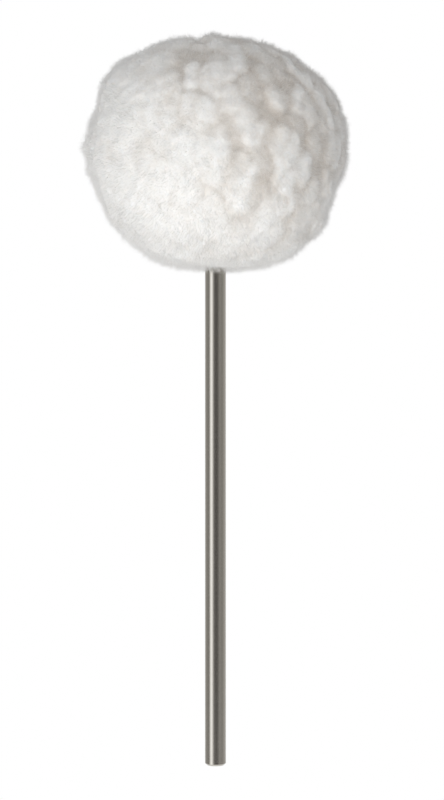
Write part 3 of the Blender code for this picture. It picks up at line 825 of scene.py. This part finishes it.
# Backing: plain knitted cotton that carries the pile, its ribs of stitches running up the head
knit = {"ribs": 150, "stitchHeight": 0.0011, "grooveShade": "#c9c2b4", "yarn": "#ebe6db", "yarnDepth": 0.00025}
knitCotton, tree, shader = newMaterial("knittedCottonBacking", Roughness=0.92, Specular_IOR_Level=0.2)
coordinates = addNode(tree, "ShaderNodeTexCoord").outputs["Object"]
axes = addNode(tree, "ShaderNodeSeparateXYZ", {"Vector": coordinates}).outputs
around = addNode(tree, "ShaderNodeMath", {0: axes["Y"], 1: axes["X"]}, operation="ARCTAN2")
ribs = addNode(tree, "ShaderNodeMath", {
    0: around.outputs[0], 1: knit["ribs"] / (2 * math.pi)}, operation="MULTIPLY")
across = addNode(tree, "ShaderNodeMath", {0: ribs.outputs[0], 1: 1.0}, operation="PINGPONG")
row = addNode(tree, "ShaderNodeMath", {
    0: axes["Z"], 1: 1 / knit["stitchHeight"], 2: across.outputs[0]}, operation="MULTIPLY_ADD")
row = addNode(tree, "ShaderNodeMath", {0: row.outputs[0], 1: 0.5}, operation="PINGPONG")
leg = addNode(tree, "ShaderNodeMath", {0: across.outputs[0], 1: 0.5}, operation="PINGPONG")
loops = addNode(tree, "ShaderNodeMath", {0: row.outputs[0], 1: leg.outputs[0]}, operation="ADD").outputs[0]
# painted shade: the grooves between the stitches are painted darker than the yarn
yarnTintAndGrooveShade = addNode(tree, "ShaderNodeValToRGB", {"Fac": loops}, stops=(
    (0.15, knit["grooveShade"]), (0.6, knit["yarn"])))
relief = addNode(tree, "ShaderNodeBump", {"Height": loops, "Strength": 0.8, "Distance": knit["yarnDepth"]})
feed(shader, Base_Color=yarnTintAndGrooveShade.outputs["Color"], Normal=relief.outputs["Normal"])

# Threads: waxed polyester, three plies laid together: a slant twist, and the wax's dull shine
thread = {"twist": 0.0008, "hollow": "#bcb29c", "ply": "#dfd8c6", "twistDepth": 0.00008}
waxedThread, tree, shader = newMaterial("waxedThread", Roughness=0.5, Coat_Weight=0.15, Coat_Roughness=0.4)
coordinates = addNode(tree, "ShaderNodeTexCoord").outputs["Object"]
# Blender's wave repeats every 0.314 of its scaled length
twist = addNode(tree, "ShaderNodeTexWave", {
    "Vector": coordinates, "Scale": 0.314 / thread["twist"], "Distortion": 0.8, "Detail": 1.0},
    wave_type="BANDS", bands_direction="DIAGONAL")
# painted shade: the hollows between the plies are painted darker than the plies
plyTintAndShade = addNode(tree, "ShaderNodeValToRGB", {"Fac": twist.outputs["Fac"]}, stops=(
    (0.0, thread["hollow"]), (0.6, thread["ply"])))
laid = addNode(tree, "ShaderNodeBump", {
    "Height": twist.outputs["Fac"], "Strength": 0.7, "Distance": thread["twistDepth"]})
feed(shader, Base_Color=plyTintAndShade.outputs["Color"], Normal=laid.outputs["Normal"])

finishes = {
    "shaft": groundSteel,
    "lower_washer": zincPlate,
    "upper_washer": zincPlate,
    "lock_washer": zincPlate,
    "retaining_nut": zincPlate,
    "core_sleeve": drawnAluminium,
    "felt_core": coreFelt,
    "felt_plug": plugFelt,
    "cover_backing": knitCotton,
    "neck_binding": waxedThread,
    "crown_drawstring": waxedThread,
    "seam_thread": waxedThread,
}
for name, finish in finishes.items():
    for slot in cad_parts[name].material_slots:
        slot.material = finish
print("finishes given:", len(finishes))

# Camera: level with the middle of the object, as in the photograph
view = {"distance": 0.70, "height": 0.1381, "aside": 0.00246, "seenHeight": 0.30303, "sensor": 24}
camera = bpy.data.cameras.new("camera")
camera.sensor_fit = "VERTICAL"
camera.sensor_height = view["sensor"]
camera.lens = view["sensor"] * view["distance"] / view["seenHeight"]
cameraObject = newObject("camera", camera)
cameraObject.location = (view["aside"], -view["distance"], view["height"])
cameraObject.rotation_euler = (math.pi / 2, 0, 0)
bpy.context.scene.camera = cameraObject

# Studio: a white surround, a large softbox low at the front left and a smaller one behind, for the back
studio = {
    "ambient": 0.515,
    "keyAngle": -18,  # degrees from the camera, negative to its left
    "keyTilt": -31,  # degrees, seen from the head, below the level
    "keyDistance": 0.9,
    "keySize": 1.2,
    "keyPower": 7.3,
    "backSize": 0.5,
    "backDistance": 1.0,
    "backPower": 4.0,
    "floorHeight": -0.85,
    "floorRadius": 1.2,
    "floorGlow": 0.4,
    "floor": "#f6f5f3",
}


def seenRays(tree):
    # 1 where a ray brings a surface to the eye, straight or mirrored, and 0 where it lights another
    path = addNode(tree, "ShaderNodeLightPath").outputs
    seen = path["Is Camera Ray"]
    for other in ("Is Glossy Ray", "Is Transmission Ray"):
        seen = addNode(tree, "ShaderNodeMath", {0: seen, 1: path[other]}, operation="MAXIMUM").outputs[0]
    return seen


def addSoftbox(name, size, power, place, turn):
    # no metal mirrors it: the cards are there for that
    lamp = bpy.data.lights.new(name, "AREA")
    lamp.shape = "SQUARE"
    lamp.size = size
    lamp.energy = power
    box = newObject(name, lamp)
    box.visible_glossy = False
    box.location = place
    box.rotation_euler = turn


world = bpy.data.worlds.new("studio")
bpy.context.scene.world = world
world.use_nodes = True
tree = world.node_tree
backdrop = tree.nodes["Background"]
level = addNode(tree, "ShaderNodeMix", {0: seenRays(tree), 2: studio["ambient"], 3: 1.0}, data_type="FLOAT")
backdrop.inputs["Color"].default_value = (1, 1, 1, 1)
tree.links.new(level.outputs[0], backdrop.inputs["Strength"])

aside, tilt = math.radians(studio["keyAngle"]), math.radians(studio["keyTilt"])
way = Vector((math.cos(tilt) * math.sin(aside), -math.cos(tilt) * math.cos(aside), math.sin(tilt)))
keyPlace = Vector((0, 0, headMiddle)) + way * studio["keyDistance"]
keyTurn = (-way).to_track_quat("-Z", "Z").to_euler()
addSoftbox("softbox", studio["keySize"], studio["keyPower"], keyPlace, keyTurn)
backPlace = (0, studio["backDistance"], headMiddle)
addSoftbox("backSoftbox", studio["backSize"], studio["backPower"], backPlace, (-math.pi / 2, 0, 0))

# the floor glows a little where it is seen, so that it looks pale from above, and still shows a shadow
paleFloor, tree, shader = newMaterial(
    "paleFloor", Roughness=0.9, Base_Color=linear(studio["floor"]), Emission_Color=linear(studio["floor"]))
floorGlow = addNode(tree, "ShaderNodeMath", {
    0: seenRays(tree), 1: studio["floorGlow"]}, operation="MULTIPLY")
feed(shader, Emission_Strength=floorGlow.outputs[0])
floorMesh = bpy.data.meshes.new("floor")
disc = bmesh.new()
bmesh.ops.create_circle(disc, cap_ends=True, segments=96, radius=studio["floorRadius"])
disc.to_mesh(floorMesh)
disc.free()
floor = newObject("floor", floorMesh, paleFloor)
floor.location.z = studio["floorHeight"]

# Cards: a drum round the front that only metal mirrors, dark by the camera, mid grey at the sides
# and with one bright strip
cards = {
    "radius": 1.4,
    "from": -150,
    "to": 150,
    "facets": 56,
    "low": -0.5,
    "high": 0.8,
    "glow": 1.65,
    # degrees from the camera, negative to its left, and the grey there
    "greys": (
        (-120, "#93918e"), (-92, "#7c7a76"), (-72, "#7a7874"), (-60, "#d0cfce"), (-54, "#ffffff"),
        (-38, "#ffffff"), (-30, "#c0bfbd"), (-16, "#636160"), (8, "#53514f"), (24, "#575553"),
        (45, "#8b8986"), (62, "#858380"), (80, "#817f7b"), (100, "#93918e"), (125, "#aba9a6"),
    ),
}
cardSweep = cards["to"] - cards["from"]
cardMesh = bpy.data.meshes.new("cards")
drum = bmesh.new()
layer = drum.loops.layers.uv.new("round")
for i in range(cards["facets"]):
    ends = [math.radians(cards["from"] + cardSweep * k / cards["facets"]) for k in (i, i + 1)]
    (x1, y1), (x2, y2) = ((cards["radius"] * math.sin(a), -cards["radius"] * math.cos(a)) for a in ends)
    low, high = cards["low"], cards["high"]
    corners = [drum.verts.new(c) for c in ((x1, y1, low), (x1, y1, high), (x2, y2, high), (x2, y2, low))]
    made = drum.faces.new(corners)
    for loop, u in zip(made.loops, (i, i, i + 1, i + 1)):
        loop[layer].uv = (u / cards["facets"], 0.5)
bmesh.ops.remove_doubles(drum, verts=drum.verts, dist=1e-5)
drum.to_mesh(cardMesh)
drum.free()
greyCards, tree, shader = newMaterial("greyCards")
tree.nodes.remove(shader)
cardMap = addNode(tree, "ShaderNodeUVMap", uv_map="round")
sideways = addNode(tree, "ShaderNodeSeparateXYZ", {"Vector": cardMap.outputs["UV"]})
greys = addNode(tree, "ShaderNodeValToRGB", {"Fac": sideways.outputs["X"]}, stops=[
    ((degrees - cards["from"]) / cardSweep, grey) for degrees, grey in cards["greys"]])
glow = addNode(tree, "ShaderNodeEmission", {"Color": greys.outputs["Color"], "Strength": cards["glow"]})
tree.links.new(glow.outputs[0], tree.nodes["Material Output"].inputs["Surface"])
cardObject = newObject("cards", cardMesh, greyCards)
cardObject.visible_camera = False
cardObject.visible_diffuse = False
cardObject.visible_shadow = False
print("studio set")

bpy.context.scene.view_settings.view_transform = "Standard"
